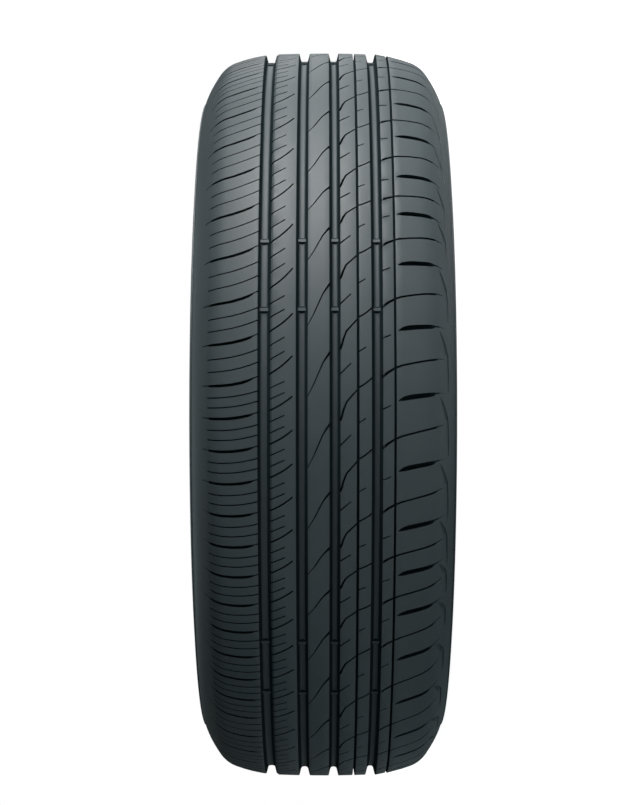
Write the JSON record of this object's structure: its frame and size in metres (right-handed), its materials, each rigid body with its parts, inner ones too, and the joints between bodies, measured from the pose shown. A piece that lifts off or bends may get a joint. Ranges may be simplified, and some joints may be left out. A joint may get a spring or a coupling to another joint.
{
  "type": "car tyre",
  "caption": "Radial road tyre with straight main grooves, a fine-pitched and a coarse-pitched shoulder, plain sidewalls and open beads.",
  "frame": {"origin": "centre of the tyre, on its spin axis and in its middle plane", "axes": "+Z along the spin axis, towards the side with the fine-pitched shoulder; the tyre lies on its other sidewall; +X and +Y across the wheel opening"},
  "size_m": [0.6644, 0.6644, 0.217],
  "materials": {
    "tyre": "matt moulded tread rubber, dark blue-grey"
  },
  "bodies": {
    "root": {"tyre": "tyre"}
  },
  "joints": []
}
